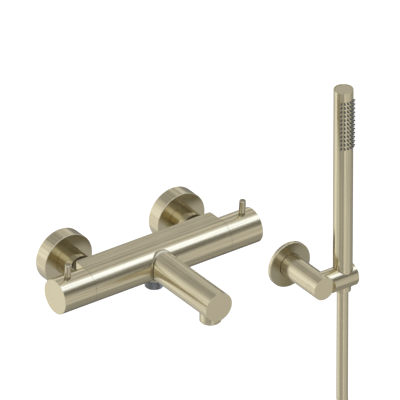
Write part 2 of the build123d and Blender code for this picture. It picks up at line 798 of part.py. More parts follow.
def make_hose_slim_ferrule():
    ferrule = rod_z(ferrule_flange_d / 2, flange_low_z, washer_low_z, handset_x, holder_y)
    ferrule += rod_z(hose_r, hose_start_z, flange_low_z, handset_x, holder_y)
    return ferrule - rod_z(hose_bore_d / 2, hose_start_z - cut_over, nut_top_z, handset_x, holder_y)


# Hose route: straight down under its own weight, one bend, then the hanging coil
bend = math.radians(hose_bend_turn)
hose_top = Vector(handset_x, holder_y, hose_start_z)
hose_corner = hose_top - Vector(0, 0, hose_straight_drop)
hose_end = hose_corner + Vector(hose_bend_run * math.sin(bend), 0, -hose_bend_run * math.cos(bend))
bend_radius = hose_bend_share * hose_bend_run / math.tan(bend / 2)


def make_hose_run():
    path = FilletPolyline(hose_top, hose_corner, hose_end, radius=[bend_radius])
    section = Pos(hose_top) * Circle(hose_r)
    tube = sweep(section, path=path)
    print("hose bend radius", round(bend_radius, 1), "length", round(path.length, 1))
    print("hose run volume share", round(tube.volume / (math.pi * hose_r ** 2 * path.length), 4))
    return tube


# Coil: clockwise seen from the room, each turn a pitch further from the wall, straight at both ends
coil_lead = hose_diameter
coil_entry = hose_end + Vector(coil_lead * math.sin(bend), 0, -coil_lead * math.cos(bend))
coil_centre = coil_entry - Vector(coil_radius * math.cos(bend), 0, coil_radius * math.sin(bend))


def coil_point(turned):
    angle = bend - turned
    step_out = coil_pitch * turned / math.tau
    return coil_centre + Vector(coil_radius * math.cos(angle), -step_out, coil_radius * math.sin(angle))


# The slope of the turns eases in and out, so that the straight ends leave square
def coil_tangent(turned):
    angle = bend - turned
    inside = seat_gap < turned < math.radians(coil_turn_total) - seat_gap
    slope = coil_pitch / math.tau / coil_radius if inside else 0.0
    return Vector(math.sin(angle), -slope, -math.cos(angle)).normalized()


def make_hose_coil():
    total = math.radians(coil_turn_total)
    quarters = math.ceil(total / (math.pi / 2))
    turns = [total * step / quarters for step in range(quarters + 1)]
    edges = [Line(hose_end, coil_entry)]
    for low, high in zip(turns, turns[1:]):
        edges += biarc(coil_point(low), coil_tangent(low), coil_point(high), coil_tangent(high))
    tail_start = coil_point(total)
    edges.append(Line(tail_start, tail_start + coil_tangent(total) * coil_tail_length))
    path = Wire(edges)
    plane = Plane(origin=hose_end, z_dir=coil_entry - hose_end)
    tube = sweep(plane * Circle(hose_r), path=path)
    samples = [coil_point(math.radians(angle)) for angle in range(int(coil_turn_total))]
    apart = min(
        (samples[low] - samples[high]).length
        for low in range(0, len(samples), 3)
        for high in range(low + 180, len(samples))
    )
    tail_gap = abs(coil_point(total).Y - coil_point(total - math.tau).Y)
    print("coil turns", round(coil_turn_total / 360, 3), "length", round(path.length, 1))
    print("coil least gap to itself", round(min(apart, tail_gap) - hose_diameter, 2))
    print("coil volume share", round(tube.volume / (math.pi * hose_r ** 2 * path.length), 4))
    return tube


# Tie: a flat band round the strands on the coil's right-hand side, where the outer two stand a little apart
def make_hose_tie():
    angle = math.radians(tie_angle)
    first_turned = bend - angle
    strands = int((math.radians(coil_turn_total) - first_turned) / math.tau) + 1
    first = coil_point(first_turned)
    last = coil_point(first_turned + (strands - 1) * math.tau)
    centre = (first + last) / 2
    along = coil_tangent(first_turned)
    plane = Plane(origin=centre, x_dir=Vector(0, 1, 0), z_dir=Vector(along.X, 0, along.Z))
    span = abs(last.Y - first.Y) + tie_slack
    inner_r = hose_r + loose_gap
    outer_r = inner_r + tie_thickness
    outer = extrude(plane * SlotCenterToCenter(span, 2 * outer_r), amount=tie_width / 2, both=True)
    inner = extrude(plane * SlotCenterToCenter(span, 2 * inner_r), amount=tie_width, both=True)
    return outer - inner


# Hose end: ferrule, washer and the free-turning nut for the mixer's outlet
tail_top = coil_point(math.radians(coil_turn_total))
tail_bottom_z = tail_top.Z - coil_tail_length
end_x = tail_top.X
end_y = tail_top.Y
end_flange_low = tail_bottom_z - end_ferrule_length
end_nut_top = end_flange_low + end_ferrule_flange_thickness + loose_gap + end_nut_floor
print("hose end nut at", round(end_x, 3), round(end_y, 3), round(end_nut_top - end_nut_length, 3))


def make_end_ferrule():
    ferrule = rod_z(hose_r, end_flange_low, tail_bottom_z, end_x, end_y)
    flange_high = end_flange_low + end_ferrule_flange_thickness
    ferrule += rod_z(end_ferrule_flange_d / 2, end_flange_low, flange_high, end_x, end_y)
    bore = rod_z(hose_bore_d / 2, end_flange_low - cut_over, tail_bottom_z + cut_over, end_x, end_y)
    return ferrule - bore


def make_end_nut():
    low = end_nut_top - end_nut_length
    nut = rod_z(end_nut_d / 2, low, end_nut_top, end_x, end_y)
    nut -= rod_z(half_inch_minor_d / 2, low - cut_over, end_nut_top - end_nut_floor, end_x, end_y)
    relief_r = half_inch_minor_d / 2 + end_nut_relief
    nut -= rod_z(relief_r, low + end_nut_thread_length, end_nut_top - end_nut_floor, end_x, end_y)
    nut -= rod_z(hose_r + loose_gap, low, end_nut_top + cut_over, end_x, end_y)
    flutes = [
        rod_z(
            end_nut_flute_d / 2,
            low - cut_over,
            end_nut_top + cut_over,
            end_x + end_nut_d / 2 * math.cos(math.tau * step / end_nut_flute_count),
            end_y + end_nut_d / 2 * math.sin(math.tau * step / end_nut_flute_count),
        )
        for step in range(end_nut_flute_count)
    ]
    return nut - flutes


def make_hose_washers():
    outer = ferrule_flange_d / 2
    slim = ring_z(outer, handset_waterway_d / 2, washer_low_z, stub_low_z, handset_x, holder_y)
    end_outer = end_ferrule_flange_d / 2
    end_low = end_flange_low - hose_washer_thickness
    end = ring_z(end_outer, hose_bore_d / 2, end_low, end_flange_low, end_x, end_y)
    return Compound(children=[slim, end])


parts["mixer_body"] = make_mixer_body()
for name, side in (("left", -1), ("right", 1)):
    parts[name + "_wall_connector"] = make_wall_connector(side * inlet_half)
    parts[name + "_union_nut"] = make_union_nut(side * inlet_half)
    parts[name + "_rosette"] = make_rosette(side * inlet_half)
parts["union_washers"] = make_union_washers()
parts["inlet_check_valves"] = make_check_valves()

parts["spout_tube"] = make_spout_tube()
parts["spout_collar"] = make_spout_collar()
parts["spout_connector"] = make_spout_connector()
parts["spout_seal"] = make_spout_seal()
parts["aerator_housing"] = make_aerator_housing()
parts["aerator_insert"] = make_aerator_insert()
parts["aerator_washer"] = make_aerator_washer()
parts["shower_outlet_nipple"] = make_shower_outlet()
parts["outlet_check_valve"] = make_outlet_valve()

for name, side in (("flow", -1), ("temperature", 1)):
    parts[name + "_handle"] = make_handle(side)
    parts[name + "_lever"] = make_lever(side)
    parts[name + "_grub_screw"] = make_grub_screw(side)
    parts[name + "_retaining_nut"] = make_retaining_nut(side)
    parts[name + "_cartridge_housing"] = make_cartridge_housing(side)
parts["temperature_spindle"] = make_spindle(1, flange_x, flange_x)
parts["flow_spindle"] = make_spindle(-1, moving_disc_end_x, flange_x)
parts["regulating_sleeve"] = make_regulating_sleeve()
parts["wax_element"] = make_wax_element()
parts["return_spring"] = make_return_spring()
parts["fixed_ceramic_disc"] = make_ceramic_disc(
    -fixed_disc_end_x, -housing_inner_x - cartridge_end_wall, fixed_port_angles
)
parts["moving_ceramic_disc"] = make_ceramic_disc(
    -moving_disc_end_x, -fixed_disc_end_x - seat_gap, moving_port_angles
)
parts["disc_carrier"] = make_disc_carrier()

parts["bracket_wall_plate"] = make_wall_plate()
parts["bracket_rosette"] = make_bracket_rosette()
parts["bracket_arm"] = make_bracket_arm()
parts["arm_plug"] = make_arm_plug()
parts["arm_grub_screw"] = make_arm_grub_screw()
parts["handset_holder"] = make_holder()
parts["holder_bolt"] = make_holder_bolt()
parts["holder_seat_ring"] = make_seat_ring()

parts["handset_tube"] = make_handset_tube()
parts["handset_cap"] = make_handset_cap()
parts["nozzle_strip"] = make_nozzle_strip()
parts["handset_core"] = make_handset_core()
parts["handset_inlet"] = make_handset_inlet()
parts["hose_slim_nut"] = make_hose_slim_nut()
parts["hose_slim_ferrule"] = make_hose_slim_ferrule()
parts["hose_run"] = make_hose_run()
parts["hose_coil"] = make_hose_coil()
parts["hose_tie"] = make_hose_tie()
parts["hose_end_ferrule"] = make_end_ferrule()
parts["hose_end_nut"] = make_end_nut()
parts["hose_washers"] = make_hose_washers()

os.makedirs("parts", exist_ok=True)
for name, shape in parts.items():
    export_step(shape, os.path.join("parts", name + ".step"))
print(len(parts), "parts written")
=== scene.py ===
import math

import bpy
import numpy as np
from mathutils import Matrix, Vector


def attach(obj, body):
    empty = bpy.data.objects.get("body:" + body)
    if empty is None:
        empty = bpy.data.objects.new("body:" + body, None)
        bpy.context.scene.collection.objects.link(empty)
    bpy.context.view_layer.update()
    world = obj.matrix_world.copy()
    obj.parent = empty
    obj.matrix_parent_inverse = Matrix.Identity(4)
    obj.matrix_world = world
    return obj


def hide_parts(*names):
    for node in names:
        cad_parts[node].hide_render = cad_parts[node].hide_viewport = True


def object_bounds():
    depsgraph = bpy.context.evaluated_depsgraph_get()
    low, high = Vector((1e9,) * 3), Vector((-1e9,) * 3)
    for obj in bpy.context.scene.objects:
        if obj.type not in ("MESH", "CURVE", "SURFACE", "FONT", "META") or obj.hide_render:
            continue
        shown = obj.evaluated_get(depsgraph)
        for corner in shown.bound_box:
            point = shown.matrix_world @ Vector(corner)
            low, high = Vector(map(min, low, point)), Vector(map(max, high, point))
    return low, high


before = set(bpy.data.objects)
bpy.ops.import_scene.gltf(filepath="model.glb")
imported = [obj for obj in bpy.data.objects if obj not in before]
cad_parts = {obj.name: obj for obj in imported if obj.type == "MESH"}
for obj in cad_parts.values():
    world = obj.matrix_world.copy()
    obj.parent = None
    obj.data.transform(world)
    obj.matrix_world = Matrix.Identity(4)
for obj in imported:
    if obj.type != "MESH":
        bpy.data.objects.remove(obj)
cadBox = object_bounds()
scene = bpy.context.scene
scene.view_settings.view_transform = "Standard"
print("frame loaded:", len(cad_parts), "CAD nodes")


# Camera: long lens, from the upper left in front, so the set keeps its parallel lines
camera = {
    "azimuth": -35.6,
    "elevation": 30.8,
    "lens": 1650.0,
    "frameWidth": 0.43356,
    "lookAt": (0.06118, -0.0715, 0.05523),
}


def placeCamera(c):
    azimuth, elevation = math.radians(c["azimuth"]), math.radians(c["elevation"])
    level = math.cos(elevation)
    back = Vector((math.sin(azimuth) * level, -math.cos(azimuth) * level, math.sin(elevation)))
    data = bpy.data.cameras.new("productCamera")
    data.lens = c["lens"]
    distance = c["frameWidth"] * c["lens"] / data.sensor_width  # similar triangles
    data.clip_start, data.clip_end = distance / 10, distance * 4
    stand = bpy.data.objects.new("productCamera", data)
    stand.location = Vector(c["lookAt"]) + back * distance
    stand.rotation_mode = "QUATERNION"
    stand.rotation_quaternion = (-back).to_track_quat("-Z", "Y")
    scene.collection.objects.link(stand)
    scene.camera = stand


placeCamera(camera)


# Hose: one smooth line from the handset's nut down, round one bend and into the tied coil
hose = {
    "top": (0.2633, -0.0575, -0.134),
    "drop": 0.166,
    "bendRun": 0.060,
    "bendTurn": 45.0,
    "lead": 0.013,
    "coilRadius": 0.067,
    "coilPitch": 0.0138,
    "coilTurn": 1125.0,
    "pointsPerTurn": 16,
    "tail": 0.044,
    "diameter": 0.013,
    "length": 1.6,
    "leaves": (0.2633, -0.0575, -0.1355),
    "curveSteps": 10,
    "roundSteps": 8,
    "carries": ["hose_slim_ferrule", "hose_tie", "hose_end_ferrule", "hose_end_nut", "hose_washers"],
}


def hoseLine(h):
    # straight down, a corner of the given turn, then the corners of the many-sided figure round each turn of the coil
    bend = math.radians(h["bendTurn"])
    way = np.array([math.sin(bend), 0.0, -math.cos(bend)])
    top = np.array(h["top"])
    corner = top - np.array([0.0, 0.0, h["drop"]])
    end = corner + way * h["bendRun"]
    entry = end + way * h["lead"]
    centre = entry - h["coilRadius"] * np.array([math.cos(bend), 0.0, math.sin(bend)])
    step = 2 * math.pi / h["pointsPerTurn"]
    total = math.radians(h["coilTurn"])
    count = round(total / step)
    turned = (np.arange(count) + 0.5) * total / count
    outer = h["coilRadius"] / math.cos(step / 2)
    angle = bend - turned
    stepOut = h["coilPitch"] * turned / (2 * math.pi)
    coil = centre + np.stack([outer * np.cos(angle), -stepOut, outer * np.sin(angle)], 1)
    last = bend - total
    tailWay = np.array([math.sin(last), 0.0, -math.cos(last)])
    lastOut = h["coilPitch"] * total / (2 * math.pi)
    tailStart = centre + np.array([h["coilRadius"] * math.cos(last), -lastOut, h["coilRadius"] * math.sin(last)])
    halfSide = h["coilRadius"] * math.tan(step / 2)
    nearCorner = corner + np.array([0.0, 0.0, h["bendRun"]])
    return [top, nearCorner, corner, end, *coil, tailStart + tailWay * halfSide, tailStart + tailWay * h["tail"]]


def makeHose(h):
    data = bpy.data.curves.new("hose", "CURVE")
    data.dimensions = "3D"
    line = data.splines.new("NURBS")
    points = hoseLine(h)
    line.points.add(len(points) - 1)
    for point, place in zip(line.points, points):
        point.co = (*place, 1.0)
        point.radius = h["diameter"] / 2
    line.order_u = 3
    line.use_endpoint_u = True
    data.resolution_u = h["curveSteps"]
    data.bevel_depth = 1.0  # times each point's radius, so that the object's box is true
    data.bevel_resolution = h["roundSteps"]
    data.use_fill_caps = True
    piece = bpy.data.objects.new("hose", data)
    scene.collection.objects.link(piece)
    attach(piece, "hose")
    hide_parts("hose_run", "hose_coil")
    return piece


hosePiece = makeHose(hose)
print("hose laid")


def roundedLine(corners, steps=6, reach=1.4):
    # a corner (along, radius, rounding) becomes the arc corner + rounding * ((1 - t)^2 * way back + t^2 * way on);
    # one more point beyond each end of it, at reach roundings from the corner, keeps the flats flat
    ring = corners[0][1] > 0
    line = []
    for i, (along, radius, rounding) in enumerate(corners):
        here = np.array([along, radius])
        if rounding == 0 or (not ring and i in (0, len(corners) - 1)):
            line.append(here[None])
            continue
        before = np.array(corners[i - 1][:2]) - here
        after = np.array(corners[(i + 1) % len(corners)][:2]) - here
        before, after = before / np.linalg.norm(before), after / np.linalg.norm(after)
        t = np.linspace(0, 1, steps)[:, None]
        arc = here + rounding * ((1 - t) ** 2 * before + t ** 2 * after)
        line.append(np.vstack([here + reach * rounding * before, arc, here + reach * rounding * after]))
    return np.vstack(line)


def gridMesh(name, points, ring, crease=35.0):
    # joins neighbours of the grid; a line that isn't a ring ends in one point on the axis at each end
    rows, columns = points.shape[:2]
    index = np.arange(rows * columns).reshape(rows, columns)
    low, high = (index, np.roll(index, -1, 0)) if ring else (index[1:-2], index[2:-1])
    quads = np.stack([low, np.roll(low, -1, 1), np.roll(high, -1, 1), high], -1).reshape(-1, 4)
    ends = np.zeros((0, 3), int)
    if not ring:
        first, last = np.full(columns, index[0, 0]), np.full(columns, index[-1, 0])
        ends = np.vstack([
            np.stack([first, np.roll(index[1], -1), index[1]], -1),
            np.stack([last, index[-2], np.roll(index[-2], -1)], -1),
        ])
    flat = points.reshape(-1, 3)
    a, b, c, d = (flat[quads[:, i]] for i in range(4))
    sixVolumes = (a * np.cross(b, c)).sum() + (a * np.cross(c, d)).sum()
    if sixVolumes < 0:  # the faces point inwards
        quads, ends = quads[:, ::-1], ends[:, ::-1]
    used, order = np.unique(np.concatenate([quads.ravel(), ends.ravel()]), return_inverse=True)
    faces = order[:quads.size].reshape(-1, 4).tolist() + order[quads.size:].reshape(-1, 3).tolist()
    mesh = bpy.data.meshes.new(name)
    mesh.from_pydata(flat[used].tolist(), [], faces)
    mesh.polygons.foreach_set("use_smooth", [True] * len(faces))
    mesh.set_sharp_from_angle(angle=math.radians(crease))
    piece = bpy.data.objects.new(name, mesh)
    scene.collection.objects.link(piece)
    return piece


def turned(name, corners, origin, axis, around=120, relief=None):
    # place = origin + along * axis + radius * (cos turn, sin turn) in the plane across the axis
    line = roundedLine(corners)
    along, radius = line[:, :1], line[:, 1:]
    turn = np.linspace(0, 2 * math.pi, around, endpoint=False)[None]
    radius = radius + 0 * turn if relief is None else relief(along, turn, radius)
    axis = np.array(axis, float) / np.linalg.norm(axis)
    first = np.array([0.0, 0.0, 1.0]) if abs(axis[0]) > 0.9 else np.array([1.0, 0.0, 0.0])
    second = np.cross(axis, first)
    spokes = np.cos(turn)[..., None] * first + np.sin(turn)[..., None] * second
    points = np.array(origin) + along[..., None] * axis + radius[..., None] * spokes
    return gridMesh(name, points, corners[0][1] > 0)


def seat(piece, body, node):
    # the piece moves with its body and stands for its CAD node
    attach(piece, body)
    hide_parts(node)
    return piece


# Rosettes: deep turned cups against the wall, their front rims softly rounded
rosette = {"radius": 0.03125, "depth": 0.0175, "wall": 0.0015, "hole": 0.01605, "rim": 0.0008, "spacing": 0.15}
bracketRosette = {
    "radius": 0.027, "depth": 0.0045, "wall": 0.0012, "hole": 0.0139, "rim": 0.0012, "place": (0.231, 0, -0.119),
}
rosetteEdges = {"wallSide": 0.0002, "hole": 0.0003, "holeBack": 0.0001, "hollow": 0.0006, "around": 160}
towardRoom = (0, -1, 0)


def rosetteCorners(r):
    # each corner is (way from the wall, radius, rounding): outside, front, and back through the hollow
    e, inner, back = rosetteEdges, r["radius"] - r["wall"], r["depth"] - r["wall"]
    return [
        (0, r["radius"], e["wallSide"]), (r["depth"], r["radius"], r["rim"]), (r["depth"], r["hole"], e["hole"]),
        (back, r["hole"], e["holeBack"]), (back, inner, e["hollow"]), (0, inner, e["wallSide"]),
    ]


def makeRosettes():
    half, around = rosette["spacing"] / 2, rosetteEdges["around"]
    cups = [
        ("left", rosette, (-half, 0, 0)),
        ("right", rosette, (half, 0, 0)),
        ("bracket", bracketRosette, bracketRosette["place"]),
    ]
    return [
        seat(turned(name + "Rosette", rosetteCorners(cup), place, towardRoom, around), "mixer", name + "_rosette")
        for name, cup, place in cups
    ]


# Union nuts: a round sleeve, then a hexagon whose corners are turned off at both ends
unionNut = {
    "wallEnd": 0.013, "hexStart": 0.04085, "end": 0.04985, "radius": 0.016, "flats": 0.027,
    "turnedOff": 0.0142, "slope": 1.6, "threadRadius": 0.01327, "shoulder": 0.03455, "hole": 0.01135,
    "sleeveShort": 0.0009, "neckShort": 0.0006, "neckIn": 0.0004, "faceIn": 0.0006, "rows": 28,
    "firstRow": 0.00002, "lastRow": 0.0003, "wallEdge": 0.0005, "sleeveEdge": 0.0004, "fineEdge": 0.0002,
    "apart": 0.15, "around": 180,
}


def nutRelief(n):
    def relief(along, turn, radius):
        # hexagon radius = half flats / cos(angle from the flat), cut by a cone that widens from each end
        fromFlat = np.mod(turn + math.pi / 6, math.pi / 3) - math.pi / 6
        hexagon = n["flats"] / 2 / np.cos(fromFlat)
        fromEnd = np.minimum(along - n["hexStart"], n["end"] - along)
        cone = n["turnedOff"] + n["slope"] * np.maximum(fromEnd, 0)
        onHex = (along > n["hexStart"] + n["firstRow"] / 2) & (radius > n["threadRadius"] + n["fineEdge"] / 2)
        return np.where(onHex, np.minimum(hexagon, cone), radius + 0 * turn)
    return relief


def makeUnionNuts(n):
    # the sleeve from the wall side, a narrow neck, rows for the hexagon, and back through the threaded hole
    steps = np.linspace(n["hexStart"] + n["firstRow"], n["end"] - n["lastRow"], n["rows"])
    hexRows = [(float(a), n["flats"] / 2, 0) for a in steps]
    neck = n["turnedOff"] - n["neckIn"]
    corners = [
        (n["wallEnd"], n["radius"], n["wallEdge"]), (n["hexStart"] - n["sleeveShort"], n["radius"], n["sleeveEdge"]),
        (n["hexStart"] - n["neckShort"], neck, 0), (n["hexStart"], neck, 0), *hexRows,
        (n["end"], n["turnedOff"] - n["faceIn"], n["fineEdge"]), (n["end"], n["hole"], n["fineEdge"]),
        (n["shoulder"], n["hole"], 0), (n["shoulder"], n["threadRadius"], 0),
        (n["wallEnd"], n["threadRadius"], n["fineEdge"]),
    ]
    pieces = []
    for side, x in (("left", -n["apart"] / 2), ("right", n["apart"] / 2)):
        nut = turned(side + "UnionNut", corners, (x, 0, 0), towardRoom, n["around"], nutRelief(n))
        pieces.append(seat(nut, "mixer", side + "_union_nut"))
    return pieces


barY = -0.0715  # the bar's axis runs along x at this distance from the wall

# Handles: hollow turned knobs with a softly broken outer edge
handle = {
    "start": 0.09025, "end": 0.1314, "radius": 0.02, "cavity": 0.0156, "cavityEnd": 0.108,
    "edge": 0.0005, "seam": 0.00008, "mouthEdge": 0.0002, "cavityEdge": 0.0004, "around": 160,
}
sides = ((-1, "flow"), (1, "temperature"))


def makeHandles(h):
    # from the middle of the outer face over its edge to the body, and back along the cavity
    corners = [
        (h["end"], 0, 0), (h["end"], h["radius"], h["edge"]), (h["start"], h["radius"], h["seam"]),
        (h["start"], h["cavity"], h["mouthEdge"]), (h["cavityEnd"], h["cavity"], h["cavityEdge"]),
        (h["cavityEnd"], 0, 0),
    ]
    pieces = []
    for side, name in sides:
        knob = turned(name + "Handle", corners, (0, barY, 0), (side, 0, 0), h["around"])
        pieces.append(seat(knob, name + "_control", name + "_handle"))
    return pieces


# Levers: short pins that lean a little to the room, flat on top with a turned edge
lever = {
    "radius": 0.0037, "root": 0.012, "top": 0.0375, "edge": 0.0006, "from": 0.1159, "lean": 5.0,
    "rootRounding": 0.0002, "topRounding": 0.00025, "around": 64,
}


def makeLevers(l):
    # a pin from inside the handle up to a flat top, along (0, -sin lean, cos lean)
    lean = math.radians(l["lean"])
    corners = [
        (l["root"], 0, 0), (l["root"], l["radius"], l["rootRounding"]),
        (l["top"] - l["edge"], l["radius"], l["topRounding"]),
        (l["top"], l["radius"] - l["edge"], l["topRounding"]), (l["top"], 0, 0),
    ]
    way = (0, -math.sin(lean), math.cos(lean))
    pieces = []
    for side, name in sides:
        pin = turned(name + "Lever", corners, (side * l["from"], barY, 0), way, l["around"])
        pieces.append(seat(pin, name + "_control", name + "_lever"))
    return pieces


# Shower outlet: a real screw thread, its ridge climbing one pitch a turn
outlet = {
    "bottom": -0.0315, "face": -0.0206, "top": -0.0116, "radius": 0.01048, "depth": 0.0006, "pitch": 0.001814,
    "lead": 0.0009, "shank": 0.0088, "bore": 0.0055, "runout": 0.0012, "flank": 1.6, "crest": 0.3, "rows": 96,
    "chamfer": 0.0006, "fineEdge": 0.0003, "around": 120,
}


def makeOutlet(o):
    def thread(along, turn, radius):
        # radius falls by the depth where a triangle wave of (height / pitch - turn) is high, and fades at both ends
        wave = np.abs(np.mod(along / o["pitch"] - turn / (2 * math.pi), 1.0) * 2 - 1)
        fromBottom = np.clip((along - o["bottom"]) / o["lead"], 0, 1)
        fromFace = np.clip((o["face"] - o["runout"] - along) / o["lead"], 0, 1)
        groove = o["depth"] * (fromBottom * fromFace) * np.clip(o["flank"] * wave - o["crest"], 0, 1)
        onThread = (radius > (o["shank"] + o["radius"]) / 2) & (along < o["face"])
        return np.where(onThread, radius - groove, radius + 0 * turn)

    steps = np.linspace(o["bottom"] + o["chamfer"], o["face"] - o["fineEdge"], o["rows"])
    rows = [(float(a), o["radius"], 0) for a in steps]
    corners = [
        (o["bottom"], o["bore"], o["fineEdge"]), (o["bottom"], o["radius"] - o["chamfer"], 0), *rows,
        (o["face"], o["radius"], 0), (o["face"], o["shank"], 0), (o["top"], o["shank"], o["fineEdge"]),
        (o["top"], o["bore"], o["fineEdge"]),
    ]
    piece = turned("showerOutlet", corners, (0, barY, 0), (0, 0, 1), o["around"], thread)
    return seat(piece, "mixer", "shower_outlet_nipple")


# Aerator housing: a ring let into the spout's underside, with a bevelled lip and a fine groove over it
aerator = {
    "bottom": -0.0243, "top": -0.011, "place": (0, -0.1763, 0), "radius": 0.012, "bevel": 0.0009, "grooveAt": -0.0217,
    "groove": 0.0005, "shoulder": -0.0115, "thread": 0.0098, "inside": 0.0081, "lip": 0.0069, "lipTop": -0.0231,
    "fineEdge": 0.0002, "around": 120,
}


def makeAerator(a):
    # from the lip over the bevel and the groove up the outside, and down the threaded and the inner wall
    outer, groove, fine = a["radius"], a["groove"], a["fineEdge"]
    corners = [
        (a["bottom"], a["lip"], fine), (a["bottom"], outer - a["bevel"], fine), (a["bottom"] + a["bevel"], outer, fine),
        (a["grooveAt"], outer, 0), (a["grooveAt"] + groove / 2, outer - groove, 0), (a["grooveAt"] + groove, outer, 0),
        (a["shoulder"], outer, 0), (a["shoulder"], a["thread"], 0), (a["top"], a["thread"], 0),
        (a["top"], a["inside"], 0), (a["lipTop"], a["inside"], 0), (a["lipTop"], a["lip"], fine),
    ]
    housing = turned("aeratorHousing", corners, a["place"], (0, 0, 1), a["around"])
    return seat(housing, "mixer", "aerator_housing")


rosettes, unionNuts, handles, levers = makeRosettes(), makeUnionNuts(unionNut), makeHandles(handle), makeLevers(lever)
outletPiece, aeratorPiece = makeOutlet(outlet), makeAerator(aerator)
print("turned pieces made:", len(rosettes + unionNuts + handles + levers) + 2)


# Shader helpers: Socket wraps one output, and the operators add Math nodes
class Socket:
    def __init__(self, shader, out):
        self.shader, self.out = shader, out

    def math(self, operation, *others):
        values = dict(enumerate((self, *others)))
        return self.shader.node("ShaderNodeMath", {"operation": operation}, values)

    def __add__(self, other): return self.math("ADD", other)
    def __sub__(self, other): return self.math("SUBTRACT", other)
    def __mul__(self, other): return self.math("MULTIPLY", other)
    def __radd__(self, other): return self.math("ADD", other)
    def __rmul__(self, other): return self.math("MULTIPLY", other)

    def __rsub__(self, other):
        return self.shader.node("ShaderNodeMath", {"operation": "SUBTRACT"}, {0: other, 1: self})

    def abs(self): return self.math("ABSOLUTE")
    def max(self, other): return self.math("MAXIMUM", other)
    def min(self, other): return self.math("MINIMUM", other)

    def smooth(self, low, high, start=0.0, end=1.0):
        # eases from start to end while this value goes from low to high
        settings = {"interpolation_type": "SMOOTHSTEP"}
        return self.shader.node("ShaderNodeMapRange", settings, {0: self, 1: low, 2: high, 3: start, 4: end})


class Shader:
    def __init__(self, tree):
        self.tree = tree

    def node(self, kind, settings=None, values=None, output=0):
        made = self.tree.nodes.new(kind)
        for name, value in (settings or {}).items():
            setattr(made, name, value)
        for key, value in (values or {}).items():
            if isinstance(value, Socket):
                self.tree.links.new(value.out, made.inputs[key])
            elif value is not None:
                made.inputs[key].default_value = value
        return Socket(self, made.outputs[output]) if made.outputs else None

    def coordinates(self, kind):
        return self.node("ShaderNodeTexCoord", output=kind)

    def ray(self, kind):
        return self.node("ShaderNodeLightPath", output=kind)

    def parts(self, vector):
        split = self.node("ShaderNodeSeparateXYZ", None, {0: vector}).out.node
        return [Socket(self, o) for o in split.outputs]

    def vector(self, operation, *values, output="Vector"):
        return self.node("ShaderNodeVectorMath", {"operation": operation}, dict(enumerate(values)), output)

    def noise(self, vector, scale, detail=2.0, roughness=0.5):
        values = {"Vector": vector, "Scale": scale, "Detail": detail, "Roughness": roughness}
        return self.node("ShaderNodeTexNoise", None, values)

    def stretched(self, vector, scale):
        return self.node("ShaderNodeMapping", None, {"Vector": vector, "Scale": scale})

    def bump(self, height, strength, distance, normal=None):
        values = {"Strength": strength, "Distance": distance, "Height": height, "Normal": normal}
        return self.node("ShaderNodeBump", None, values)

    def mixColour(self, factor, a, b):
        made = self.node("ShaderNodeMix", {"data_type": "RGBA"}, {0: factor}).out.node
        for index, value in ((6, a), (7, b)):
            if isinstance(value, Socket):
                self.tree.links.new(value.out, made.inputs[index])
            else:
                made.inputs[index].default_value = (*value, 1.0)
        return Socket(self, made.outputs[2])


def newMaterial(name):
    material = bpy.data.materials.new(name)
    material.use_nodes = True
    material.node_tree.nodes.clear()
    return material, Shader(material.node_tree)


def finishMaterial(shader, colour, roughness, normal, metallic=0.0):
    surface = {"Base Color": colour, "Roughness": roughness, "Normal": normal, "Metallic": metallic}
    body = shader.node("ShaderNodeBsdfPrincipled", None, surface)
    shader.node("ShaderNodeOutputMaterial", None, {"Surface": body})


def shaded(colour, share):
    return tuple(min(1.0, share * c) for c in colour)


# Metal finishes: fine straight brushing along each piece, and level lines on flat ends; some copies also carry painted
# shade, as darker tints, darker flat ends and a darker band below a given height
metalTints = {
    "champagne": (0.715, 0.640, 0.440),
    # painted shade: the collar's darker copy of the champagne tint dims the bar's highlight mirrored on it
    "champagneCollarPaintedShade": (0.49, 0.43, 0.285),
    # painted shade: the union nuts' darker copy of the champagne tint
    "champagneNutPaintedShade": (0.56, 0.48, 0.28),
    # painted shade: the levers' darker copy of the champagne tint
    "champagnePinPaintedShade": (0.58, 0.52, 0.36),
    "rawBrass": (0.62, 0.42, 0.16),
    "nickel": (0.30, 0.315, 0.335),
    "steel": (0.56, 0.57, 0.58),
}

# scales are per metre; tones are shares of the way from the tint's darker to its lighter shade
brushing = {
    "fineAlong": 14.0, "fineAcross": 2600.0, "streakAlong": 7.0, "streakAcross": 620.0, "levelAlong": 60.0,
    "cloud": 38.0, "darker": 0.22, "lighter": 0.13,
    "end": (0.8, 0.95), "lines": (0.25, 0.75), "streaks": (0.3, 0.7),
    "roughLines": (0.2, 0.8), "roughCloud": (0.3, 0.7),
    "lineTone": 0.3, "lessOnEnd": 0.18, "cloudTone": 0.15, "streakTone": 0.55, "endTone": 0.39,
    # painted shade: how dark the flat ends and the band below a height turn, how much of the band's darkening is used,
    # and how soft its edge is
    "shade": 0.3, "dark": 0.25, "paintedShadeShare": 0.7, "paintedShadeEdge": 0.0004,
    "smoother": 0.035, "rougher": 0.05, "cloudSmoother": 0.015, "cloudRougher": 0.02,
    "streakDepth": 2.0, "strength": 0.12, "distance": 0.00006, "bevelSamples": 4,
}


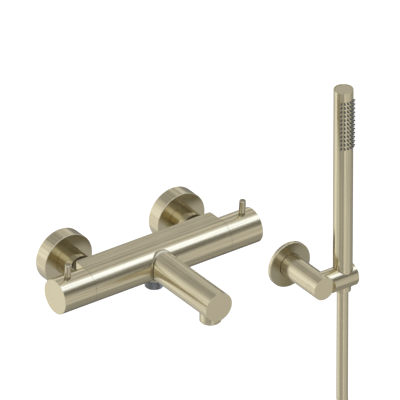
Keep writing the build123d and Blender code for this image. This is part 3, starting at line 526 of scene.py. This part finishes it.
def brushedMetal(name, tint, axis, roughness=0.2, grain=1.0, bevel=0.0004, paintedEndShade=0.0, paintedShadeBelow=None):
    # the noise is long along the axis and fine across it; on faces square to the axis it runs level instead
    b = brushing
    material, s = newMaterial(name)
    place = s.coordinates("Object")
    fine, broad, level = [b["fineAcross"]] * 3, [b["streakAcross"]] * 3, [b["levelAlong"]] * 3
    fine[axis], broad[axis], level[2] = b["fineAlong"], b["streakAlong"], b["fineAcross"]
    if axis == 2:
        level[1] = b["fineAcross"]
    side = s.noise(s.stretched(place, fine), 1.0, 3.0, 0.6)
    streaks = s.noise(s.stretched(place, broad), 1.0, 3.0, 0.65)
    flat = s.noise(s.stretched(place, level), 1.0)
    cloud = s.noise(place, b["cloud"], 3.0)
    onEnd = s.parts(s.node("ShaderNodeNewGeometry", output="Normal"))[axis].abs().smooth(*b["end"])
    onSide = 1 - onEnd
    lines = side * onSide + flat * onEnd
    lineTone = lines.smooth(*b["lines"]) * (b["lineTone"] - b["lessOnEnd"] * onEnd)
    streakTone = streaks.smooth(*b["streaks"]) * onSide * b["streakTone"]
    tone = lineTone + cloud * b["cloudTone"] + streakTone + onEnd * b["endTone"]
    colour = s.mixColour(tone, shaded(tint, 1 - b["darker"] * grain), shaded(tint, 1 + b["lighter"] * grain))
    # painted shade: below the given height on the axis the colour darkens towards a dark copy of the tint, as shade on
    # the union nuts' hexagon and as shadow at the levers' feet
    if paintedShadeBelow is not None:
        low, high = paintedShadeBelow - b["paintedShadeEdge"], paintedShadeBelow + b["paintedShadeEdge"]
        below = s.parts(place)[axis].smooth(low, high, b["paintedShadeShare"], 0.0)
        colour = s.mixColour(below, colour, shaded(tint, b["dark"]))
    # painted shade: faces square to the axis darken towards a shaded copy of the tint
    if paintedEndShade:
        colour = s.mixColour(onEnd * paintedEndShade, colour, shaded(tint, b["shade"]))
    rough = lines.smooth(*b["roughLines"], roughness - b["smoother"], roughness + b["rougher"])
    rough = rough + cloud.smooth(*b["roughCloud"], -b["cloudSmoother"], b["cloudRougher"])
    edge = s.node("ShaderNodeBevel", {"samples": b["bevelSamples"]}, {"Radius": bevel})
    relief = s.bump(lines + streaks * onSide * b["streakDepth"], b["strength"] * grain, b["distance"], edge)
    finishMaterial(s, colour, rough, relief, 1.0)
    return material


champagneX = brushedMetal("champagneAlongX", metalTints["champagne"], 0, grain=1.25, bevel=0.00015)
champagneY = brushedMetal("champagneAlongY", metalTints["champagne"], 1, grain=1.25, bevel=0.0007)
# painted shade: the spout collar in a darker copy of the tint
champagneCollarPaintedShade = brushedMetal("champagneCollarPaintedShade", metalTints["champagneCollarPaintedShade"], 1, 0.3, bevel=0.0003)
champagneArm = brushedMetal("champagneArm", metalTints["champagne"], 1, grain=0.5)
champagneZ = brushedMetal("champagneAlongZ", metalTints["champagne"], 2)
# painted shade: the rosettes' front faces are darkened, the bracket rosette's face more so
champagneRosette = brushedMetal("champagneRosette", metalTints["champagne"], 1, paintedEndShade=0.30)
champagneBracket = brushedMetal("champagneBracket", metalTints["champagne"], 1, paintedEndShade=0.55)
# painted shade: the union nuts are darker overall, and darker still on the hexagon below -0.039 m
champagneNutPaintedShade = brushedMetal("champagneNutPaintedShade", metalTints["champagneNutPaintedShade"], 1, 0.12, paintedShadeBelow=-0.0390)
# painted shade and shadow: the levers are darker overall, and darker at the foot below 0.0222 m
champagnePinPaintedShade = brushedMetal("champagnePinPaintedShade", metalTints["champagnePinPaintedShade"], 2, 0.07, 0.6, 0.0002, paintedShadeBelow=0.0222)
rawBrass = brushedMetal("turnedBrass", metalTints["rawBrass"], 1, 0.28)
nickel = brushedMetal("satinNickel", metalTints["nickel"], 2, 0.34)
steel = brushedMetal("zincSteel", metalTints["steel"], 1, 0.32)


# Moulded finishes: silicone, rubber, plastics and ceramic
moulding = {"mottle": 120.0, "strength": 0.15, "distance": 0.00005, "roughSpread": 0.05}


def mouldedMaterial(name, colour, roughness, speckle=0.06, grainSize=900.0):
    # even colour with faint mottling, and a fine moulded grain
    m = moulding
    material, s = newMaterial(name)
    place = s.coordinates("Object")
    mottle = s.noise(place, m["mottle"], 4.0)
    fine = s.noise(place, grainSize)
    paint = s.mixColour(mottle, shaded(colour, 1 - speckle), shaded(colour, 1 + speckle))
    rough = fine.smooth(0.2, 0.8, roughness - m["roughSpread"], roughness + m["roughSpread"])
    finishMaterial(s, paint, rough, s.bump(fine, m["strength"], m["distance"]))
    return material


greySilicone = mouldedMaterial("greySilicone", (0.075, 0.08, 0.088), 0.5)
blackRubber = mouldedMaterial("blackRubber", (0.02, 0.02, 0.021), 0.6)
whitePlastic = mouldedMaterial("whiteAcetal", (0.80, 0.80, 0.78), 0.35)
greyPlastic = mouldedMaterial("greyPolyamide", (0.30, 0.31, 0.33), 0.45)
discCeramic = mouldedMaterial("discCeramic", (0.86, 0.84, 0.80), 0.12, 0.02, 1500.0)


skin = {
    "rings": 640, "cloud": 60.0, "cloudTone": 0.6, "ringTone": 0.2, "darker": 0.94, "roughness": (0.22, 0.27),
    "strength": 0.06, "distance": 0.0001,
}


def hoseSkin(k):
    # satin metallic skin; the winding under it shows as faint even rings, sine(2 pi * rings * way along the hose)
    material, s = newMaterial("hoseSkin")
    way = s.parts(s.coordinates("UV"))[0]
    rings = (way * (2 * math.pi * k["rings"])).math("SINE")
    cloud = s.noise(s.coordinates("Object"), k["cloud"], 3.0)
    tint = metalTints["champagne"]
    tone = cloud * k["cloudTone"] + rings.smooth(-1.0, 1.0) * k["ringTone"]
    colour = s.mixColour(tone, shaded(tint, k["darker"]), tint)
    rough = cloud.smooth(0.3, 0.7, *k["roughness"])
    finishMaterial(s, colour, rough, s.bump(rings, k["strength"], k["distance"]), 1.0)
    return material


hosePiece.data.materials.append(hoseSkin(skin))

# Which nodes have which finish
finishOf = {
    champagneX: ["mixer_body", "flow_handle", "temperature_handle", "handset_holder", "arm_plug"],
    champagneY: ["spout_tube"],
    champagneCollarPaintedShade: ["spout_collar"],
    champagneArm: ["bracket_arm"],
    champagneRosette: ["left_rosette", "right_rosette"],
    champagneBracket: ["bracket_rosette"],
    champagneNutPaintedShade: ["left_union_nut", "right_union_nut"],
    champagneZ: ["aerator_housing", "handset_tube", "handset_cap", "hose_slim_nut", "hose_end_nut"],
    champagnePinPaintedShade: ["flow_lever", "temperature_lever"],
    rawBrass: ["left_wall_connector", "right_wall_connector", "spout_connector", "flow_retaining_nut",
               "flow_cartridge_housing", "temperature_retaining_nut", "temperature_cartridge_housing",
               "flow_spindle", "temperature_spindle", "wax_element", "handset_inlet", "hose_slim_ferrule",
               "hose_end_ferrule"],
    nickel: ["shower_outlet_nipple"],
    steel: ["return_spring", "bracket_wall_plate", "arm_grub_screw", "holder_bolt", "flow_grub_screw",
            "temperature_grub_screw"],
    greySilicone: ["nozzle_strip"],
    blackRubber: ["union_washers", "spout_seal", "aerator_washer", "hose_tie", "hose_washers"],
    whitePlastic: ["inlet_check_valves", "outlet_check_valve", "holder_seat_ring", "disc_carrier",
                   "regulating_sleeve", "handset_core"],
    greyPlastic: ["aerator_insert"],
    discCeramic: ["fixed_ceramic_disc", "moving_ceramic_disc"],
}


ownPieces = dict(zip(
    ["left_rosette", "right_rosette", "bracket_rosette", "left_union_nut", "right_union_nut", "flow_handle",
     "temperature_handle", "flow_lever", "temperature_lever", "shower_outlet_nipple", "aerator_housing"],
    rosettes + unionNuts + handles + levers + [outletPiece, aeratorPiece],
))


def dressNodes():
    # a finish goes on the CAD node and on the piece that stands for it
    for material, names in finishOf.items():
        for name in names:
            for piece in filter(None, (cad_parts[name], ownPieces.get(name))):
                piece.data.materials.clear()
                piece.data.materials.append(material)
    bare = set(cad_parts) - {n for names in finishOf.values() for n in names}
    print("nodes without a finish of their own:", sorted(bare))


dressNodes()


# Studio: white backdrop, a long soft box over the front, grey cards that the metal mirrors
studio = {
    "base": 0.58,
    "light": 0.85,
    "cap": 1.5,
    "white": 1.06,
    "moreGreen": 0.4,
    "moreBlue": 1.6,
    # (direction, angle of the core, angle of the soft edge, change of level)
    "patches": [
        ((0.61, -0.19, 0.77), 1, 9, -0.57),
        ((-0.64, 0.71, -0.28), 18, 28, 0.24),
        ((-0.70, 0.70, -0.15), 1, 7, -0.11),
        ((0.50, 0.70, -0.51), 6, 22, -0.24),
        ((-0.48, 0.70, -0.53), 2, 8, 0.17),
        ((-0.20, -0.84, -0.51), 3, 9, 0.30),
        ((-0.50, -0.70, -0.51), 3, 8, -0.17),
        ((-0.72, 0.48, -0.51), 5, 9, 0.18),
        ((-0.84, 0.17, -0.51), 5, 10, 0.15),
        ((-0.18, 0.84, -0.51), 4, 12, -0.14),
        ((-0.70, 0.70, 0.02), 6, 12, 0.20),
        ((0.71, 0.70, -0.10), 5, 12, -0.19),
        ((-0.70, 0.70, 0.02), 3, 9, 0.10),
        ((-0.50, -0.70, 0.51), 8, 14, 1.2),
        ((0.60, -0.72, -0.36), 1, 9, 0.19),
        ((0.36, 0.70, 0.62), 1, 5, 0.30),
        ((0.70, 0.70, 0.17), 2, 7, -0.15),
        ((-0.65, 0.70, -0.31), 2, 8, 0.09),
        ((0.57, 0.77, 0.30), 1, 9, 0.16),
        ((-0.48, 0.70, 0.53), 5, 8, 0.19),
        ((0.38, 0.42, 0.82), 8, 20, 0.06),
        ((-0.85, 0.31, -0.42), 14, 16, 0.09),
        ((-0.76, -0.48, -0.43), 14, 16, -0.13),
        ((0.50, -0.11, -0.86), 18, 28, -0.20),
        ((0.80, 0.59, 0.07), 18, 28, -0.09),
    ],
    # (angle over the front horizon, half width, soft edge, change of level), level strips along the bar
    "strips": [
        (69, 10, 8, 1.3),
        (60, 2, 7, 1.05),
        (84, 2, 7, 0.25),
        (123, 2, 6, 0.12),
        (-38, 3, 9, 0.10),
        (35, 9, 7, -0.34),
        (20, 2, 7, -0.16),
        (0, 2, 7, 0.10),
        (105, 2, 7, -0.16),
        (135, 2, 7, -0.22),
        (156, 3, 8, 0.30),
        (-114, 8, 9, -0.22),
    ],
}


def softSpot(s, way, direction, core, edge, change):
    # the whole change of level inside the core's angle from the direction, none past the soft edge
    near = s.vector("DOT_PRODUCT", way, tuple(direction), output="Value")
    return near.smooth(math.cos(math.radians(core + edge)), math.cos(math.radians(core)), 0.0, change)


def makeWorld(st):
    world = bpy.data.worlds.new("studio")
    world.use_nodes = True
    world.node_tree.nodes.clear()
    s = Shader(world.node_tree)
    way = s.coordinates("Generated")
    changes = [softSpot(s, way, Vector(direction).normalized(), *spread) for direction, *spread in st["patches"]]
    across = s.vector("NORMALIZE", s.vector("MULTIPLY", way, (0.0, 1.0, 1.0)))
    for angle, *spread in st["strips"]:
        a = math.radians(angle)
        changes.append(softSpot(s, across, (0.0, -math.cos(a), math.sin(a)), *spread))
    level = (sum(changes) + st["base"]).min(st["cap"])
    # above the white level the light turns a little bluer, as the soft boxes do against the warm metal
    excess = (level - st["white"]).max(0.0)
    colours = {0: level, 1: level + excess * st["moreGreen"], 2: level + excess * st["moreBlue"]}
    mirrored = s.node("ShaderNodeCombineColor", None, colours)
    seen = s.mixColour(s.ray("Is Glossy Ray"), (st["light"],) * 3, mirrored)
    seen = s.mixColour(s.ray("Is Camera Ray").max(s.ray("Is Transmission Ray")), seen, (1.0, 1.0, 1.0))
    back = s.node("ShaderNodeBackground", None, {0: seen, 1: 1.0})
    s.node("ShaderNodeOutputWorld", None, {0: back})
    scene.world = world


makeWorld(studio)


# Floor: pale, under the coil; the metal mirrors the studio and not the floor
floor = {
    "size": 12.0, "below": 0.004, "colour": (0.93, 0.93, 0.92), "darker": (0.9, 0.9, 0.89), "mottle": 3.0,
    "darkest": 0.99, "roughness": 0.9, "glow": 0.22,
}


def makeFloor(f):
    # a flat square under the part, whose glow only the camera sees
    low = cadBox[0].z - f["below"]
    half = f["size"] / 2
    mesh = bpy.data.meshes.new("floor")
    corners = [(x * half, y * half, low) for x, y in ((-1, -1), (1, -1), (1, 1), (-1, 1))]
    mesh.from_pydata(corners, [], [(0, 1, 2, 3)])
    piece = bpy.data.objects.new("floor", mesh)
    scene.collection.objects.link(piece)
    material, s = newMaterial("paleFloor")
    tone = s.noise(s.coordinates("Object"), f["mottle"]).smooth(0.3, 0.7, f["darkest"], 1.0)
    paint = s.mixColour(tone, f["darker"], f["colour"])
    matt = s.node("ShaderNodeBsdfPrincipled", None, {"Base Color": paint, "Roughness": f["roughness"]})
    glow = s.node("ShaderNodeEmission", None, {"Strength": f["glow"]})
    lit = s.node("ShaderNodeAddShader", None, {0: matt, 1: glow})
    seen = s.node("ShaderNodeMixShader", None, {0: s.ray("Is Camera Ray"), 1: matt, 2: lit})
    s.node("ShaderNodeOutputMaterial", None, {0: seen})
    mesh.materials.append(material)
    piece.visible_glossy = False


makeFloor(floor)


# Lamp: one large soft lamp over the front gives the floor its shadow
lamp = {"place": (0.35, -1.3, 2.2), "aim": (0.08, -0.07, -0.1), "size": 1.6, "power": 22.0}


def makeLamp(l):
    data = bpy.data.lights.new("softLamp", "AREA")
    data.shape, data.size, data.energy = "SQUARE", l["size"], l["power"]
    light = bpy.data.objects.new("softLamp", data)
    light.location = l["place"]
    light.rotation_mode = "QUATERNION"
    light.rotation_quaternion = (Vector(l["aim"]) - Vector(l["place"])).to_track_quat("-Z", "Y")
    light.visible_glossy = False
    scene.collection.objects.link(light)


makeLamp(lamp)
print("studio set")
